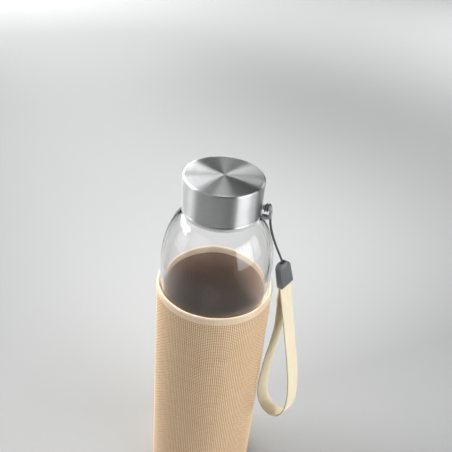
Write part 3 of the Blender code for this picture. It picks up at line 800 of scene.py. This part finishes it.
def stitches():
    """One row of short stitches along the hem's lower edge."""
    verts, faces = [], []
    n, long_, thick = 78, 1.75 * MM, 0.17 * MM
    for s in range(n):
        a0 = TAU * s / n
        z = hem_low + 0.95 * MM
        for k in range(5):
            t = k / 4
            a = a0 + (t - 0.5) * long_ / SLEEVE_R
            swell = math.sin(math.pi * (0.12 + 0.76 * t))
            r = SLEEVE_R + 0.10 * MM + 0.02 * MM
            for j in range(6):
                b = TAU * j / 6
                rr = r + thick * swell * math.cos(b)
                verts.append((rr * math.cos(a), rr * math.sin(a), z + thick * swell * math.sin(b)))
        base = s * 30
        for k in range(4):
            for j in range(6):
                jj = (j + 1) % 6
                faces.append((base + k * 6 + j, base + k * 6 + jj, base + (k + 1) * 6 + jj, base + (k + 1) * 6 + j))
        faces.append(tuple(base + j for j in reversed(range(6))))
        faces.append(tuple(base + 24 + j for j in range(6)))
    obj = build("hem_stitching", verts, faces, HEM, 80)
    outward(obj)
    return obj


thread = stitches()
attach(thread, "sleeve")

rad = inside - 0.3 * MM
pts = [(0.0, BASE_T), (rad * 0.5, BASE_T), (rad - 0.6 * MM, BASE_T), (rad - 0.15 * MM, BASE_T - 0.2 * MM), (rad, BASE_T - 0.6 * MM),
       (rad, 0.5 * MM), (rad - 0.15 * MM, 0.15 * MM), (rad - 0.5 * MM, 0.0), (rad * 0.5, 0.0), (0.0, 0.0)]
base = revolve("sleeve_bottom", pts, 144, BASE, sharp=60)
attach(base, "sleeve")
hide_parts("sleeve_base")


# ==================================================================== floor, lights
def floor_look():
    """Pale matt paper whose colour carries painted shade: it gets a little darker toward the camera's side, and a
    painted pool of light keeps it pale in front of the bottle.
    """
    look = Look("pale_floor")
    x, y, z = look.split(look.object)
    # painted shade: the paper's tone falls off toward the camera's side, at the right and at the left
    slope = look.math("ADD", look.math("MULTIPLY_ADD", x, 8.5, -0.5), look.math("MULTIPLY", y, -9.7))
    tone = look.math("DIVIDE", 0.64, look.math("ADD", 1.0, look.math("EXPONENT", slope)))
    side = look.math("ADD", look.math("MULTIPLY_ADD", x, -14.0, -4.6), look.math("MULTIPLY", y, -10.0))
    tone = look.math("DIVIDE", tone, look.math("ADD", 1.0, look.math("EXPONENT", side)))
    # painted shade: a soft patch to the left of the bottle, a little behind it, made up to a third darker
    lx = look.math("MULTIPLY", look.math("ADD", x, 0.28), 3.4)
    ly = look.math("MULTIPLY", look.math("ADD", y, -0.16), 2.5)
    left = look.math("EXPONENT", look.math("MULTIPLY", look.math("ADD", look.math("MULTIPLY", lx, lx), look.math("MULTIPLY", ly, ly)), -1.0))
    tone = look.math("MULTIPLY", tone, look.math("MULTIPLY_ADD", left, -0.33, 1.0))
    # a painted pool of light keeps the floor pale in front of the bottle
    px = look.math("MULTIPLY", look.math("ADD", x, -0.02), 7.0)
    py = look.math("MULTIPLY", look.math("ADD", y, 0.26), 4.6)
    painted_light_pool = look.math("EXPONENT", look.math("MULTIPLY", look.math("ADD", look.math("MULTIPLY", px, px), look.math("MULTIPLY", py, py)), -1.0))
    tone = look.math("MAXIMUM", look.math("MAXIMUM", tone, look.math("MULTIPLY", painted_light_pool, 0.62)), 0.40)
    look.set(base_color=look.mix(1.0, look.join(tone, tone, tone), (0.985, 1.0, 1.0), "MULTIPLY"), roughness=0.8)
    look.bsdf.inputs["Specular IOR Level"].default_value = 0.15
    return look.mat


floor = revolve("studio_floor", [(0.0, -0.0002), (0.5, -0.0002), (1.2, -0.0002), (2.1, -0.0002)], 64, floor_look())

world = bpy.data.worlds.new("studio")
bpy.context.scene.world = world
world.use_nodes = True
# what lies past the floor is pale to the eye, but hardly lights the object
backdrop = world.node_tree.nodes["Background"]
backdrop.inputs[0].default_value = (0.60, 0.615, 0.62, 1)
rays = world.node_tree.nodes.new("ShaderNodeLightPath")
dim = world.node_tree.nodes.new("ShaderNodeMath")
dim.operation = "ADD"
dim.use_clamp = True
world.node_tree.links.new(rays.outputs["Is Camera Ray"], dim.inputs[0])
world.node_tree.links.new(rays.outputs["Is Transmission Ray"], dim.inputs[1])
level = world.node_tree.nodes.new("ShaderNodeMath")
level.operation = "MULTIPLY_ADD"
world.node_tree.links.new(dim.outputs[0], level.inputs[0])
level.inputs[1].default_value = 0.98
level.inputs[2].default_value = 0.02
world.node_tree.links.new(level.outputs[0], backdrop.inputs[1])


def softbox(name, azimuth, elevation, distance, wide, tall, power, spread=60, colour=(1, 1, 1), aim=(0, 0, 0.14), shine=True):
    """An area lamp that looks at the object from an azimuth and elevation, in degrees."""
    a, e = math.radians(azimuth), math.radians(elevation)
    data = bpy.data.lights.new(name, "AREA")
    data.shape = "RECTANGLE"
    data.size, data.size_y = wide, tall
    data.energy = power
    data.spread = math.radians(spread)
    data.color = colour
    obj = bpy.data.objects.new(name, data)
    away = Vector((math.cos(e) * math.cos(a), math.cos(e) * math.sin(a), math.sin(e)))
    obj.location = Vector(aim) + away * distance
    obj.rotation_mode = "QUATERNION"
    obj.rotation_quaternion = (-away).to_track_quat("-Z", "Y")
    bpy.context.scene.collection.objects.link(obj)
    obj.visible_camera = False
    obj.visible_glossy = shine
    obj.visible_transmission = False
    return obj


for name, azimuth, elevation, distance, wide, tall, power, spread in (
        # a tall strip on the right
        ("right_a", -30, 9, 1.0, 0.34, 0.60, 0.53, 60), ("right_b", -12, 9, 1.0, 0.34, 0.60, 0.53, 60),
        ("right_c", 8, 9, 1.0, 0.34, 0.60, 0.25, 60),
        # a broad bank behind, mostly on the left
        ("back_a", 120, 8, 1.2, 0.42, 0.30, 1.30, 60), ("back_b", 142, 24, 1.2, 0.42, 0.40, 0.90, 60),
        ("back_c", 163, 24, 1.2, 0.42, 0.40, 0.50, 60), ("back_d", 185, 28, 1.2, 0.42, 0.40, 0.90, 60),
        ("back_e", 132, 47, 1.2, 0.60, 0.45, 0.27, 60), ("back_f", 165, 47, 1.2, 0.60, 0.45, 0.26, 60),
        ("back_g", 100, 78, 1.2, 0.40, 0.40, 0.30, 60), ("back_h", 60, 26, 1.2, 0.40, 0.40, 0.18, 60),
        # fill from the front left
        ("fill_a", -125, 30, 1.3, 1.00, 0.80, 1.4, 120), ("fill_b", -165, 10, 1.1, 0.60, 0.60, 0.31, 60)):
    softbox(name, azimuth, elevation, distance, wide, tall, power, spread)
# an overhead panel, too diffuse to show in the metal
softbox("over", 0, 90, 2.2, 2.4, 2.4, 1.5, 180, shine=False)
softbox("side_right", -22, 12, 1.1, 0.8, 0.7, 0.6, 70, shine=False)
softbox("side_left", 172, 12, 1.1, 0.8, 0.7, 0.35, 70, shine=False)
# these light the floor behind, and don't reach the bottle
softbox("floor_a", 0, 89.9, 1.3, 1.4, 0.8, 4.2, 80, aim=(-0.1, 1.45, 0))
softbox("floor_b", 0, 89.9, 1.3, 0.8, 0.8, 7.6, 80, aim=(0.95, 1.15, 0))
softbox("floor_c", 0, 89.9, 1.3, 0.8, 0.8, 7.6, 80, aim=(-1.0, 1.15, 0))

softbox("floor_d", 0, 89.9, 1.3, 0.9, 0.9, 5.0, 75, aim=(0.0, -1.35, 0))
softbox("floor_e", 0, 89.9, 1.3, 0.9, 0.9, 5.0, 60, aim=(1.25, -0.4, 0))
softbox("floor_f", 0, 89.9, 1.3, 0.9, 0.9, 5.0, 60, aim=(-1.35, -0.4, 0))

bpy.context.scene.view_settings.view_transform = "Standard"
bpy.context.scene.view_settings.look = "None"
